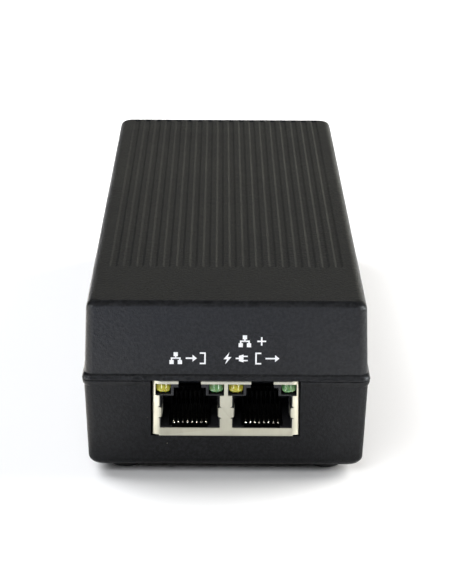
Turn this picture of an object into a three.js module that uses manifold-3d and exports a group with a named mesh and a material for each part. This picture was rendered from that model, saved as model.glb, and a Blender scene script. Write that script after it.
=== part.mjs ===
// A power-over-Ethernet injector for a desk: a long moulded case in two halves, with two shielded
// network ports in its front end, a mains inlet in its rear end and the power supply between them.
// Millimetres. +X is right, +Y runs from the ports to the mains inlet, +Z is up.
// The origin is on the surface that the feet stand on, under the middle of the case.
import * as THREE from "three";
import { mergeVertices } from "three/addons/utils/BufferGeometryUtils.js";
import Module from "manifold-3d";

const wasm = await Module();
wasm.setup();

// ---------------------------------------------------------------- driving dimensions
const LENGTH = 157; // over the bead round the cover's rim
const WIDTH = 62.3; // over the same bead
const TOP_Z = 40.5;
const SEAM_Z = 22.8; // parting line between the two halves
const CASE_BOTTOM_Z = 2;
const GAP = 0.3; // between pieces that touch

const COVER_INSET = 0.55; // at the seam, the cover's wall stands in from the bead by this much
const CASE_INSET = 0.42; // and the lower half's wall by this much
const COVER_SLOPE = Math.tan(THREE.MathUtils.degToRad(2));
const CASE_SLOPE = Math.tan(THREE.MathUtils.degToRad(2.05));
// The bead round the cover's rim: [height above the rim, inset from the bead's crest].
const BEAD = [
  [0, 0.12],
  [0.12, 0],
  [0.4, 0.02],
  [0.8, 0.14],
  [1.1, 0.3],
  [1.25, COVER_INSET],
];
// The rim of the lower half: [depth below the rim, inset from the bead's crest].
const RIM = [
  [1.4, 0.45],
  [0.7, 0.15],
  [0.2, 0.08],
  [0, 0.2],
];
const WALL = 2.4;
const FLOOR = 2.2;
const CORNER_RADIUS = 1.9; // upright corners
const COVER_SIDE_FILLET = 2;
const COVER_END_FILLET = 1.1;
const CASE_SIDE_FILLET = 2.45;
const CASE_END_FILLET = 2.4;
const LIP_HEIGHT = 1.8; // tongue of the lower half, inside the cover
const LIP_WALL = 1;

const GROOVES = 18;
const GROOVE_PITCH = 2.977;
const GROOVE_WIDTH = 1.55; // at the surface
const GROOVE_FLOOR = 0.75;
const GROOVE_DEPTH = 0.42;
const GROOVE_START = 24.3; // plain stretch in front of them
const GROOVE_END = 2.5; // and behind them

const BOARD_X = 27;
const BOARD_Y = 74.5;
const BOARD_TOP = 9.45;
const BOARD_THICKNESS = 1.6;
const STAND_Z = BOARD_TOP + GAP; // where everything on the board stands

const SCREW_X = 22.5;
const SCREW_Y = 61;
const SCREW = { hole: 1.7, well: 3.1, wellTop: 5.2, pilot: 1.6, pilotDepth: 14 }; // radii and heights
const BOSS = { cover: 3.2, case: 4.4 }; // radii of the posts that the screws join
const FOOT_X = 22.2;
const FOOT_Y = 69.5;
const FOOT_RADIUS = 4;

const JACK = { width: 32, height: 12.95, depth: 18, face: -LENGTH / 2 + 0.7, bottom: STAND_Z };
const SHEET = 0.4; // the shield's metal
const PORT_X = 7.84; // each port's centre from the middle of the jack
const PORT_WIDTH = 13.06;
const PORT_SILL = 1.84; // the shield's strip below a port
const LED_ZONE = { width: 14.85, low: 9.38, high: 12.06 };
const LATCH_NOTCH = 4.85;

const CONTACTS = 8;
const CONTACT_PITCH = 1.016;
const CONTACT_WIDTH = 0.46;
const CONTACT_THICKNESS = 0.3;
const FOLD = { depth: 2.4, height: 2.15 }; // middle of a contact wire's fold, from the jack's lower front edge

const INLET = { halfX: 13.6, halfZ: 9.9, z: 21.3, face: LENGTH / 2 - 0.6, recess: 16, depth: 18 };

// ---------------------------------------------------------------- solids
// A three.js geometry as a manifold-3d solid.
function solid(geometry) {
  geometry.deleteAttribute("normal");
  geometry.deleteAttribute("uv");
  const merged = mergeVertices(geometry, 1e-4);
  return new wasm.Manifold(
    new wasm.Mesh({
      numProp: 3,
      vertProperties: merged.attributes.position.array,
      triVerts: new Uint32Array(merged.index.array),
    }),
  );
}

// A box from its ranges along X, Y and Z.
function block([x0, x1], [y0, y1], [z0, z1]) {
  const geometry = new THREE.BoxGeometry(x1 - x0, y1 - y0, z1 - z0);
  geometry.translate((x0 + x1) / 2, (y0 + y1) / 2, (z0 + z1) / 2);
  return solid(geometry);
}

// A range of the given size about a middle.
const about = (middle, size) => [middle - size / 2, middle + size / 2];

// An outline pushed along an axis: (y, z) points along X, (x, z) points along Y.
function push(axis, outline, [from, to]) {
  const shape = new THREE.Shape(outline.map(([a, b]) => new THREE.Vector2(a, b)));
  const geometry = new THREE.ExtrudeGeometry(shape, { depth: to - from, bevelEnabled: false });
  const basis = new THREE.Matrix4();
  const [x, y, z] = [new THREE.Vector3(1, 0, 0), new THREE.Vector3(0, 1, 0), new THREE.Vector3(0, 0, 1)];
  if (axis === "x") basis.makeBasis(y, z, x).setPosition(from, 0, 0);
  if (axis === "y") basis.makeBasis(x, z, y.negate()).setPosition(0, to, 0);
  return solid(geometry.applyMatrix4(basis));
}

// An upright turned piece: its profile is (radius, z) points, from the axis to the axis.
function turn(profile, x, y, segments = 20) {
  const points = profile.map(([radius, z]) => new THREE.Vector2(radius, z));
  const geometry = new THREE.LatheGeometry(points, segments);
  geometry.rotateX(Math.PI / 2);
  geometry.translate(x, y, 0);
  return solid(geometry);
}

const post = (radius, [z0, z1], x, y, segments) =>
  turn(
    [
      [0, z0],
      [radius, z0],
      [radius, z1],
      [0, z1],
    ],
    x,
    y,
    segments,
  );

// A stack of rounded rectangles joined by skins: one layer is { z, x, y, r }, half sizes and corner radius.
function stack(layers, curveSegments = 2) {
  const shape = new THREE.Shape();
  const quarter = Math.PI / 2;
  shape.absarc(1, 1, 1, 0, quarter);
  shape.absarc(-1, 1, 1, quarter, 2 * quarter);
  shape.absarc(-1, -1, 1, 2 * quarter, 3 * quarter);
  shape.absarc(1, -1, 1, 3 * quarter, 4 * quarter);
  const steps = layers.length - 1;
  const settings = { depth: steps, steps, curveSegments, bevelEnabled: false };
  const geometry = new THREE.ExtrudeGeometry(shape, settings);
  const position = geometry.attributes.position;
  for (let i = 0; i < position.count; i++) {
    const { z, x, y, r } = layers[Math.round(position.getZ(i))];
    const place = (along, half) => Math.sign(along) * (half - r + r * (Math.abs(along) - 1));
    position.setXYZ(i, place(position.getX(i), x), place(position.getY(i), y), z);
  }
  return solid(geometry);
}

const cut = (base, ...tools) => tools.reduce((result, tool) => result.subtract(tool), base);
const join = (base, ...others) => others.reduce((result, other) => result.add(other), base);

// ---------------------------------------------------------------- materials
const finish = (color, roughness, metalness = 0) =>
  new THREE.MeshStandardMaterial({ color, roughness, metalness });

const MATERIALS = {
  casePlastic: finish(0x2b2b2d, 0.55),
  rubber: finish(0x1b1b1c, 0.9),
  screwSteel: finish(0xa9a9a6, 0.35, 1),
  shieldMetal: finish(0xbdb9ad, 0.32, 1),
  jackPlastic: finish(0x121213, 0.45),
  contactGold: finish(0xc9a24a, 0.3, 1),
  yellowLens: finish(0xd8c640, 0.25),
  greenLens: finish(0x79b56a, 0.25),
  board: finish(0x1f5a36, 0.5),
  film: finish(0xe8e2c8, 0.5),
  inletPlastic: finish(0x19191a, 0.5),
  bladeMetal: finish(0xc4c2bb, 0.3, 1),
  componentBlack: finish(0x1d1d1f, 0.5),
  componentBlue: finish(0x2f5fa8, 0.45),
  componentYellow: finish(0xd9b335, 0.5),
  heatsink: finish(0xb4b6b8, 0.4, 1),
  ferrite: finish(0x3a3a3c, 0.6),
  tape: finish(0xd8b64c, 0.45),
  copper: finish(0xb4703a, 0.35, 1),
};

const part = new THREE.Group();

// Adds a solid to the part as a named mesh.
function add(name, shape, material) {
  const { numProp, numVert, vertProperties, triVerts } = shape.getMesh();
  const places = new Float32Array(numVert * 3);
  for (let i = 0; i < numVert; i++) places.set(vertProperties.subarray(i * numProp, i * numProp + 3), i * 3);
  const geometry = new THREE.BufferGeometry();
  geometry.setAttribute("position", new THREE.BufferAttribute(places, 3));
  geometry.setIndex(new THREE.BufferAttribute(new Uint32Array(triVerts), 1));
  geometry.computeVertexNormals();
  const mesh = new THREE.Mesh(geometry, material);
  mesh.name = name;
  part.add(mesh);
}

const CORNERS = [
  ["front_left", -1, -1],
  ["front_right", 1, -1],
  ["rear_left", -1, 1],
  ["rear_right", 1, 1],
];

// ---------------------------------------------------------------- case
// How far a fillet pulls the wall in, at a height below or above the face that it rounds into.
const filletInset = (radius, height) =>
  height >= radius ? 0 : radius - Math.sqrt(radius ** 2 - (radius - height) ** 2);

// Heights, measured from the face, at which both fillets of a half are drawn.
function filletHeights(radii, steps) {
  const heights = radii.flatMap((radius) =>
    Array.from({ length: steps + 1 }, (_, i) => radius * (1 - Math.sin((Math.PI / 2) * (i / steps)))),
  );
  return [...new Set(heights.map((height) => Number(height.toFixed(4))))];
}

const layerAt = (z, inset, extraX = 0, extraY = 0, r = CORNER_RADIUS) => ({
  z,
  x: WIDTH / 2 - inset - extraX,
  y: LENGTH / 2 - inset - extraY,
  r,
});

const coverInset = (z) => COVER_INSET + (z - SEAM_Z) * COVER_SLOPE;
const caseInset = (z) => CASE_INSET + (SEAM_Z - z) * CASE_SLOPE;
const coverFloorZ = SEAM_Z + GAP / 2;
const caseRimZ = SEAM_Z - GAP / 2;
const innerTop = TOP_Z - FLOOR;

function coverOutside() {
  const bead = BEAD.map(([height, inset]) => layerAt(coverFloorZ + height, inset));
  const shoulders = filletHeights([COVER_SIDE_FILLET, COVER_END_FILLET], 5)
    .sort((a, b) => b - a)
    .map((height) => {
      const z = TOP_Z - height;
      return layerAt(
        z,
        coverInset(z),
        filletInset(COVER_SIDE_FILLET, height),
        filletInset(COVER_END_FILLET, height),
      );
    });
  return stack([...bead, ...shoulders]);
}

function grooves() {
  const flank = (GROOVE_WIDTH - GROOVE_FLOOR) / 2;
  const above = 0.5;
  const rise = (flank / GROOVE_DEPTH) * above;
  const half = GROOVE_WIDTH / 2;
  return Array.from({ length: GROOVES }, (_, i) => {
    const x = (i - (GROOVES - 1) / 2) * GROOVE_PITCH;
    const outline = [
      [x - half - rise, TOP_Z + above],
      [x - half + flank, TOP_Z - GROOVE_DEPTH],
      [x + half - flank, TOP_Z - GROOVE_DEPTH],
      [x + half + rise, TOP_Z + above],
    ];
    return push("y", outline, [-LENGTH / 2 + GROOVE_START, LENGTH / 2 - GROOVE_END]);
  });
}

// The opening that the inlet's face fills, through the rear wall of both halves.
const inletOpening = block(
  about(0, 2 * (INLET.halfX + GAP)),
  [INLET.face - WALL - 2.5, LENGTH / 2 + 1],
  about(INLET.z, 2 * (INLET.halfZ + GAP)),
);

const inside = (z, slopeInset) => layerAt(z, slopeInset(z) + WALL, 0, 0, 0.6);
const rebate = (z) => layerAt(z, COVER_INSET + WALL - LIP_WALL - GAP, 0, 0, 0.8);

const hollow = stack([inside(coverFloorZ - 1, coverInset), inside(innerTop, coverInset)], 1);
const lipRoom = stack([rebate(coverFloorZ - 1), rebate(SEAM_Z + LIP_HEIGHT + GAP)], 1);
const bossColumns = CORNERS.map(([, sx, sy]) =>
  post(BOSS.cover, [STAND_Z, innerTop + 0.5], sx * SCREW_X, sy * SCREW_Y, 16),
);
const pilotHoles = CORNERS.map(([, sx, sy]) =>
  post(SCREW.pilot, [STAND_Z - 1, STAND_Z + SCREW.pilotDepth], sx * SCREW_X, sy * SCREW_Y, 12),
);
const coverShell = join(cut(coverOutside(), hollow, lipRoom), ...bossColumns);
add("top_cover", cut(coverShell, ...pilotHoles, ...grooves(), inletOpening), MATERIALS.casePlastic);

function caseOutside() {
  const skirts = filletHeights([CASE_SIDE_FILLET, CASE_END_FILLET], 4)
    .sort((a, b) => a - b)
    .map((height) => {
      const z = CASE_BOTTOM_Z + height;
      return layerAt(
        z,
        caseInset(z),
        filletInset(CASE_SIDE_FILLET, height),
        filletInset(CASE_END_FILLET, height),
      );
    });
  return stack([...skirts, ...RIM.map(([depth, inset]) => layerAt(caseRimZ - depth, inset))]);
}

const lipOutside = (z) => layerAt(z, COVER_INSET + WALL - LIP_WALL, 0, 0, 0.8);
const floorTop = CASE_BOTTOM_Z + FLOOR;
const caseHollow = stack(
  [
    layerAt(floorTop, COVER_INSET + WALL + 0.7, 0, 0, 0.6),
    layerAt(SEAM_Z + 5, COVER_INSET + WALL, 0, 0, 0.6),
  ],
  1,
);
const lip = stack([lipOutside(caseRimZ - 1), lipOutside(SEAM_Z + LIP_HEIGHT)], 1);
const caseBosses = CORNERS.map(([, sx, sy]) =>
  post(BOSS.case, [CASE_BOTTOM_Z + 1, BOARD_TOP - BOARD_THICKNESS - GAP], sx * SCREW_X, sy * SCREW_Y, 16),
);
const screwWells = CORNERS.flatMap(([, sx, sy]) => [
  post(SCREW.well, [CASE_BOTTOM_Z - 1, SCREW.wellTop], sx * SCREW_X, sy * SCREW_Y, 16),
  post(SCREW.hole, [CASE_BOTTOM_Z - 1, 10], sx * SCREW_X, sy * SCREW_Y, 12),
]);
const footPockets = CORNERS.map(([, sx, sy]) =>
  post(FOOT_RADIUS + GAP, [CASE_BOTTOM_Z - 1, CASE_BOTTOM_Z + 0.8], sx * FOOT_X, sy * FOOT_Y, 20),
);
const jackOpening = block(
  about(0, JACK.width + 1.3),
  [-LENGTH / 2 - 1, -LENGTH / 2 + 5],
  [JACK.bottom - 0.25, SEAM_Z + 5],
);
const caseShell = join(cut(join(caseOutside(), lip), caseHollow), ...caseBosses);
add(
  "bottom_case",
  cut(caseShell, ...screwWells, ...footPockets, jackOpening, inletOpening),
  MATERIALS.casePlastic,
);

for (const [corner, sx, sy] of CORNERS) {
  const foot = turn(
    [
      [0, 0],
      [FOOT_RADIUS - 1, 0],
      [FOOT_RADIUS - 0.3, 0.3],
      [FOOT_RADIUS, 1],
      [FOOT_RADIUS, CASE_BOTTOM_Z + 0.5],
      [0, CASE_BOTTOM_Z + 0.5],
    ],
    sx * FOOT_X,
    sy * FOOT_Y,
  );
  add("foot_" + corner, foot, MATERIALS.rubber);
  const screw = turn(
    [
      [0, 3],
      [1.8, 3],
      [2.7, 3.7],
      [2.7, 4.9],
      [1.3, 4.9],
      [1.3, 17],
      [0, 18],
    ],
    sx * SCREW_X,
    sy * SCREW_Y,
    14,
  );
  add("screw_" + corner, screw, MATERIALS.screwSteel);
}

// ---------------------------------------------------------------- board and film
const boardHoles = CORNERS.map(([, sx, sy]) =>
  post(1.8, [BOARD_TOP - BOARD_THICKNESS - 1, BOARD_TOP + 1], sx * SCREW_X, sy * SCREW_Y, 12),
);
const board = block(about(0, 2 * BOARD_X), about(0, 2 * BOARD_Y), [BOARD_TOP - BOARD_THICKNESS, BOARD_TOP]);
add("main_board", cut(board, ...boardHoles), MATERIALS.board);

const filmHoles = CORNERS.map(([, sx, sy]) =>
  post(BOSS.case + 0.5, [floorTop, floorTop + 2], sx * SCREW_X, sy * SCREW_Y, 12),
);
const film = block(
  about(0, 2 * (BOARD_X - 1)),
  about(0, 2 * (BOARD_Y - 1.5)),
  [floorTop + GAP, floorTop + 2 * GAP],
);
add("insulation_sheet", cut(film, ...filmHoles), MATERIALS.film);

// ---------------------------------------------------------------- network jack
// Places in the jack are given as depth behind its face and height above its underside.
const jackY = (depth) => JACK.face + depth;
const jackZ = (height) => JACK.bottom + height;
const jackBlock = (x, [d0, d1], [h0, h1]) => block(x, [jackY(d0), jackY(d1)], [jackZ(h0), jackZ(h1)]);
const PORTS = [
  { name: "port_1", x: -PORT_X },
  { name: "port_2", x: PORT_X },
];

const shieldBox = jackBlock(about(0, JACK.width), [0, JACK.depth], [0, JACK.height]);
const shieldInside = jackBlock(
  about(0, JACK.width - 2 * SHEET),
  [SHEET, JACK.depth - SHEET],
  [-1, JACK.height - SHEET],
);
const shieldWindows = PORTS.flatMap(({ x }) => [
  jackBlock(about(x, PORT_WIDTH), [-1, 2 * SHEET], [PORT_SILL, LED_ZONE.low + 0.1]),
  jackBlock(about(x, LED_ZONE.width), [-1, 2 * SHEET], [LED_ZONE.low, LED_ZONE.high]),
  jackBlock(about(x, LATCH_NOTCH), [-1, 2.5], [LED_ZONE.low, JACK.height + 1]),
]);
add("jack_shield", cut(shieldBox, shieldInside, ...shieldWindows), MATERIALS.shieldMetal);

const CAVITY = { width: 11.9, low: 1.5, high: 9.3, depth: 13.6 };
const LATCH_ROOM = { width: 6.6, high: 11.9, depth: 12 };
const LED = { width: 3.1, height: 2.07, depth: 7, low: 9.98, inner: 4.16, recess: 0.55 };
const housingFront = SHEET + GAP;

function housing() {
  const body = jackBlock(
    about(0, JACK.width - 2 * (SHEET + GAP)),
    [housingFront, JACK.depth - SHEET - GAP],
    [0.1, JACK.height - SHEET - GAP],
  );
  const rooms = PORTS.flatMap(({ x }) => [
    jackBlock(about(x, CAVITY.width), [0, CAVITY.depth], [CAVITY.low, CAVITY.high]),
    jackBlock(about(x, 9.2), [1.2, CAVITY.depth], [0.4, CAVITY.low + 0.1]),
    jackBlock(about(x, LATCH_ROOM.width), [0, LATCH_ROOM.depth], [CAVITY.high - 0.1, LATCH_ROOM.high]),
    ...[-1, 1].map((side) =>
      jackBlock(
        about(x + side * (LED.inner + LED.width / 2), LED.width + 2 * GAP),
        [0, LED.depth + LED.recess + GAP],
        [LED.low - GAP, JACK.height],
      ),
    ),
  ]);
  return cut(body, ...rooms);
}
add("jack_housing", housing(), MATERIALS.jackPlastic);

// A lens is a bar with its two lower edges rounded.
function lens(x) {
  const half = LED.width / 2;
  const r = 0.5;
  const [low, high] = [jackZ(LED.low), jackZ(LED.low + LED.height)];
  const outline = [
    [x - half + r, low],
    [x + half - r, low],
    [x + half - 0.3 * r, low + 0.3 * r],
    [x + half, low + r],
    [x + half, high],
    [x - half, high],
    [x - half, low + r],
    [x - half + 0.3 * r, low + 0.3 * r],
  ];
  return push("y", outline, [jackY(LED.recess), jackY(LED.recess + LED.depth)]);
}

PORTS.forEach(({ x }, i) => {
  const reach = LED.inner + LED.width / 2;
  add("link_led_" + (i + 1), lens(x - reach), MATERIALS.yellowLens);
  add("activity_led_" + (i + 1), lens(x + reach), MATERIALS.greenLens);
});

// The contact carrier: a floor under the wires and a comb at the back, with a slot for each wire's end.
const COMB = { front: 9.4, back: 13.1, top: 6.7, slotFloor: 3.6, slotBack: 12.2, slotWidth: 0.72 };
const contactX = (x, i) => x + (i - (CONTACTS - 1) / 2) * CONTACT_PITCH;

function insert(x) {
  const floor = jackBlock(about(x, 8.6), [1.5, COMB.back], [0.7, 1.4]);
  const comb = jackBlock(about(x, 8.6), [COMB.front, COMB.back], [0.7, COMB.top]);
  const slots = Array.from({ length: CONTACTS }, (_, i) =>
    jackBlock(
      about(contactX(x, i), COMB.slotWidth),
      [COMB.front - 1, COMB.slotBack],
      [COMB.slotFloor, COMB.top + 1],
    ),
  );
  return cut(join(floor, comb), ...slots);
}

// A contact wire: a short root on the carrier, the fold, and the arm that slopes up to the comb.
function contact(x) {
  const arm = THREE.MathUtils.degToRad(22);
  const armLength = 8.9;
  const bend = 0.42; // outer radius of the fold
  const inner = bend - CONTACT_THICKNESS;
  const centre = [jackY(FOLD.depth), jackZ(FOLD.height)];
  const at = (radius, angle) => [centre[0] + radius * Math.cos(angle), centre[1] + radius * Math.sin(angle)];
  const first = 1.5 * Math.PI; // the root lies under the fold
  const last = Math.PI / 2 + arm;
  const steps = 5;
  const sweep = Array.from({ length: steps + 1 }, (_, i) => first + ((last - first) * i) / steps);
  const along = ([y, z], distance) => [y + distance * Math.cos(arm), z + distance * Math.sin(arm)];
  const rootLength = 1.4;
  const outerArc = sweep.map((angle) => at(bend, angle));
  const innerArc = sweep.map((angle) => at(inner, angle));
  const [rootY, rootZ] = outerArc[0];
  const outline = [
    [rootY + rootLength, rootZ],
    [rootY + rootLength, rootZ + CONTACT_THICKNESS],
    ...innerArc,
    along(innerArc[steps], armLength),
    along(outerArc[steps], armLength),
    ...outerArc.reverse(),
  ];
  return push("x", outline, about(x, CONTACT_WIDTH));
}

PORTS.forEach(({ name, x }, port) => {
  add("contact_insert_" + (port + 1), insert(x), MATERIALS.jackPlastic);
  for (let i = 0; i < CONTACTS; i++)
    add(name + "_contact_" + (i + 1), contact(contactX(x, i)), MATERIALS.contactGold);
});

// ---------------------------------------------------------------- mains inlet
const inletPins = [
  { name: "inlet_pin_neutral", x: -7, z: INLET.z - 2, short: 1.6 },
  { name: "inlet_pin_earth", x: 0, z: INLET.z + 2, short: 0.6 },
  { name: "inlet_pin_line", x: 7, z: INLET.z - 2, short: 1.6 },
];
const PIN = { width: 2, height: 4, chamfer: 0.8 };

function inletHousing() {
  const { halfX, halfZ, z, face, recess, depth } = INLET;
  const body = block(about(0, 2 * halfX), [face - depth, face], about(z, 2 * halfZ));
  const flange = block(about(0, 2 * halfX + 2.4), [face - 5, face - 3], about(z, 2 * halfZ + 2.4));
  const [mouthX, mouthZ, bevel] = [12.1, 8.3, 4.6];
  const mouth = [
    [-mouthX, z - mouthZ],
    [mouthX, z - mouthZ],
    [mouthX, z + mouthZ - bevel],
    [mouthX - bevel, z + mouthZ],
    [bevel - mouthX, z + mouthZ],
    [-mouthX, z + mouthZ - bevel],
  ];
  const slits = inletPins.map((pin) =>
    block(about(pin.x, PIN.width + 2 * GAP), [face - depth - 1, face], about(pin.z, PIN.height + 2 * GAP)),
  );
  return cut(join(body, flange), push("y", mouth, [face - recess, face + 1]), ...slits);
}
add("inlet_housing", inletHousing(), MATERIALS.inletPlastic);

for (const pin of inletPins) {
  const back = INLET.face - INLET.depth;
  const tip = INLET.face - pin.short;
  const [low, high] = about(pin.z, PIN.height);
  const outline = [
    [back - 3, STAND_Z],
    [back - 1, STAND_Z],
    [back - 1, low],
    [tip - 1, low],
    [tip, low + PIN.chamfer],
    [tip, high - PIN.chamfer],
    [tip - 1, high],
    [back - 3, high],
  ];
  add(pin.name, push("x", outline, about(pin.x, PIN.width)), MATERIALS.bladeMetal);
}

// ---------------------------------------------------------------- pieces on the board
const legs = (places, height, thickness = 0.8) =>
  places.map(([x, y]) => block(about(x, thickness), about(y, thickness), [STAND_Z, STAND_Z + height]));

// A disc on edge, on two legs, such as a varistor. It faces along Y.
function discPart(x, y, radius, thickness) {
  const disc = new THREE.CylinderGeometry(radius, radius, thickness, 18);
  disc.translate(x, y, STAND_Z + radius + 2);
  return join(solid(disc), ...legs([-2.5, 2.5].map((dx) => [x + dx, y]), radius + 1));
}

// A can capacitor: its sleeve rolls in over the top rim and is pinched above the foot.
function canCapacitor(x, y, radius, height) {
  const [low, high] = [STAND_Z, STAND_Z + height];
  const profile = [
    [0, low],
    [radius, low],
    [radius, low + 1.6],
    [radius - 0.5, low + 2.2],
    [radius, low + 2.8],
    [radius, high - 0.8],
    [radius - 0.8, high],
    [radius - 1.6, high],
    [radius - 1.8, high - 0.3],
    [0, high - 0.3],
  ];
  return turn(profile, x, y, 22);
}

// A power transistor on three legs. Its metal tab faces the given side along X.
function tabPart(x, y, side) {
  const [low, top] = [STAND_Z + 4, STAND_Z + 20];
  const facing = (d0, d1) => [x + side * d0, x + side * d1].sort((a, b) => a - b);
  const body = block(facing(-4.5, -1.3), about(y, 10), [low, low + 9]);
  const tab = block(facing(-1.4, 0), about(y, 10), [low + 0.5, top - 1]);
  const feet = [-2.54, 0, 2.54].map((dy) => block(facing(-3, -2.3), about(y + dy, 0.9), [STAND_Z, low + 1]));
  const hole = new THREE.CylinderGeometry(1.8, 1.8, 6, 12);
  hole.rotateZ(Math.PI / 2);
  hole.translate(x, y, low + 12);
  return cut(join(body, tab, ...feet), solid(hole));
}

// A folded sheet heatsink: an upright plate with a turned-in shelf along its top.
function heatsink(x, [y0, y1], side) {
  const facing = (d0, d1) => [x + side * d0, x + side * d1].sort((a, b) => a - b);
  const plate = block(facing(0, 1.8), [y0, y1], [STAND_Z, 33.5]);
  const shelf = block(facing(-7, 1.8), [y0, y1], [31.7, 33.5]);
  return join(plate, shelf);
}

// Where each piece stands on the board: [x, y].
const PLACES = {
  fuse: [-17, 49],
  varistor: [16, 50],
  xCapacitor: [0, 48],
  choke: [-13, 33],
  bridge: [14, 37],
  bulkCapacitor: [11, 19],
  powerTransistor: [-23, 12],
  transformer: [0, -9],
  yCapacitor: [-20, -12],
  optocoupler: [19.5, 0],
  outputRectifier: [23, -22],
  outputCapacitors: [
    [-15, -33],
    [-3, -33],
  ],
  powerController: [11, -34],
  lanMagnetics: [
    [-9.5, -49],
    [9.5, -49],
  ],
};

// A moulded block standing on the board.
const standing = ([x, y], [width, length, height]) =>
  block(about(x, width), about(y, length), [STAND_Z, STAND_Z + height]);

add("fuse", post(4.2, [STAND_Z, STAND_Z + 8], ...PLACES.fuse, 18), MATERIALS.componentBlack);
add("varistor", discPart(...PLACES.varistor, 5.6, 4), MATERIALS.componentBlue);
add("x_capacitor", standing(PLACES.xCapacitor, [18, 9, 15]), MATERIALS.componentYellow);

function choke(x, y) {
  const base = block(about(x, 17), about(y, 9), [STAND_Z, STAND_Z + 2]);
  const ring = new THREE.TorusGeometry(6, 3.4, 8, 20);
  ring.rotateX(Math.PI / 2);
  ring.translate(x, y, STAND_Z + 10.6);
  return join(base, solid(ring));
}
add("common_mode_choke", choke(...PLACES.choke), MATERIALS.copper);

// The bridge rectifier: a flat body with one clipped corner, on four legs.
function bridgeRectifier([x, y]) {
  const [halfWidth, low, high, clip] = [10, STAND_Z + 4, STAND_Z + 18, 2.5];
  const outline = [
    [x - halfWidth, low],
    [x + halfWidth, low],
    [x + halfWidth, high],
    [x - halfWidth + clip, high],
    [x - halfWidth, high - clip],
  ];
  const feet = [-7.5, -2.5, 2.5, 7.5].map((dx) => [x + dx, y]);
  return join(push("y", outline, about(y, 3.6)), ...legs(feet, 5));
}
add("bridge_rectifier", bridgeRectifier(PLACES.bridge), MATERIALS.componentBlack);
add("bulk_capacitor", canCapacitor(...PLACES.bulkCapacitor, 9, 26), MATERIALS.componentBlack);

// Each power part stands against its heatsink, which is 28 long and reaches past it both ways.
const HEATSINK_LENGTH = 28;
function cooledPart(partName, sinkName, [x, y], side) {
  add(partName, tabPart(x, y, side), MATERIALS.componentBlack);
  add(sinkName, heatsink(x + side * GAP, about(y, HEATSINK_LENGTH), side), MATERIALS.heatsink);
}
cooledPart("power_transistor", "primary_heatsink", PLACES.powerTransistor, -1);
cooledPart("output_rectifier", "output_heatsink", PLACES.outputRectifier, 1);

// The transformer: a ferrite core with two windows, and a wound bobbin round its middle leg.
const TRANSFORMER = { low: STAND_Z + 3, high: STAND_Z + 26, yoke: 4, leg: 7.2, window: 6 };
const [transformerX, transformerY] = PLACES.transformer;
const windowZ = [TRANSFORMER.low + TRANSFORMER.yoke, TRANSFORMER.high - TRANSFORMER.yoke];
const core = block(about(transformerX, 28), about(transformerY, 11), [TRANSFORMER.low, TRANSFORMER.high]);
const coreWindows = [-1, 1].map((side) =>
  block(
    about(transformerX + (side * (TRANSFORMER.leg + TRANSFORMER.window)) / 2, TRANSFORMER.window),
    about(transformerY, 13),
    windowZ,
  ),
);
add("transformer_core", cut(core, ...coreWindows), MATERIALS.ferrite);

const coilZ = [windowZ[0] + GAP, windowZ[1] - GAP];
const coil = block(about(transformerX, 18), about(transformerY, 21), coilZ);
const coilBore = block(
  about(transformerX, TRANSFORMER.leg + 2 * GAP),
  about(transformerY, 11 + 2 * GAP),
  [coilZ[0] - 1, coilZ[1] + 1],
);
const coilFeet = [-1, 1].map((side) =>
  block(about(transformerX, 18), about(transformerY + side * 8.4, 4), [STAND_Z, coilZ[0] + 1]),
);
add("transformer_winding", join(cut(coil, coilBore), ...coilFeet), MATERIALS.tape);

add("y_capacitor", discPart(...PLACES.yCapacitor, 4, 3), MATERIALS.componentBlue);
add("optocoupler", standing(PLACES.optocoupler, [6.4, 4.6, 3.6]), MATERIALS.componentBlack);
add("power_controller", standing(PLACES.powerController, [8, 8, 1.6]), MATERIALS.componentBlack);
PLACES.outputCapacitors.forEach((place, i) =>
  add("output_capacitor_" + (i + 1), canCapacitor(...place, 5, 20), MATERIALS.componentBlack),
);
PLACES.lanMagnetics.forEach((place, i) =>
  add("lan_magnetics_" + (i + 1), standing(place, [16, 12, 5.8]), MATERIALS.componentBlack),
);

export default part;
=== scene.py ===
"""Looks of a power-over-Ethernet injector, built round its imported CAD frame.

The part's lengths are in millimetres, turned into metres where a mesh is made.
The stage, the lights and the camera's place are in metres.
+X is right, +Y runs from the network ports to the mains inlet, +Z is up.
"""
import math

import bmesh
import bpy
from mathutils import Matrix, Vector


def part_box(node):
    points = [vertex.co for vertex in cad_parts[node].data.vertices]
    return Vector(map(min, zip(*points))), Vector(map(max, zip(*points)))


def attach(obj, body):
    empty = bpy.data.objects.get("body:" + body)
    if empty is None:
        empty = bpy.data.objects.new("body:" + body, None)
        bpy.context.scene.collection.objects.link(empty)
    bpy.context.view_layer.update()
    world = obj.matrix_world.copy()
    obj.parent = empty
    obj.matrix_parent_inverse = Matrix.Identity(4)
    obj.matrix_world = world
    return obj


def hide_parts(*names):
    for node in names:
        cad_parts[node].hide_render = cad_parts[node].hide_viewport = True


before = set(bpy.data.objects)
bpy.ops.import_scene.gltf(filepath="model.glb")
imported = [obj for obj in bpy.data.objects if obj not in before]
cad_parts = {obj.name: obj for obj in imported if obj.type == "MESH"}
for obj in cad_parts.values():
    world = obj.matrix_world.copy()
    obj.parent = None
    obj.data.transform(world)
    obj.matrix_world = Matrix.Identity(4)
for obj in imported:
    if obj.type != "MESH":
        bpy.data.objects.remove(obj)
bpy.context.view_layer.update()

MM = 0.001


def box_mm(node):
    """A CAD node's lowest and highest corners, in millimetres."""
    low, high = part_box(node)
    return low / MM, high / MM


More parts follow.
